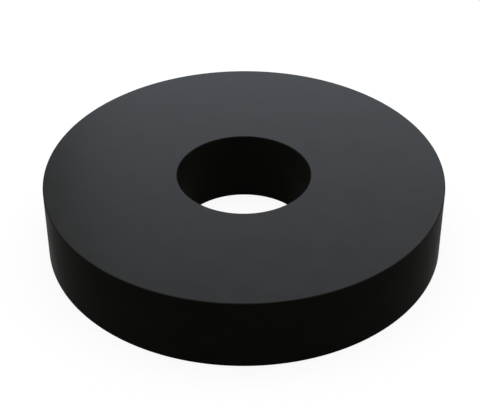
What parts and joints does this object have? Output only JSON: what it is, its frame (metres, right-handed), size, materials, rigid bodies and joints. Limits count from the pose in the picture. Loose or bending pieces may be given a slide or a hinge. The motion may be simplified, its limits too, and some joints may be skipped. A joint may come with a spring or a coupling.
{
  "type": "valve seat seal",
  "caption": "Flat black rubber ring with a plain central bore. Held on a valve's seal holder, it presses on the valve seat and shuts off the flow.",
  "frame": {"origin": "middle of the bore at the lower face, which the ring rests on", "axes": "+Z along the bore axis, from the lower face to the sealing face; the ring is round, so X and Y point anywhere across it"},
  "size_m": [0.024, 0.024, 0.0045],
  "materials": {
    "rubber": "black moulded rubber: smooth faces with a low gloss, dull walls"
  },
  "bodies": {
    "root": {"seal_ring": "rubber"}
  },
  "joints": []
}
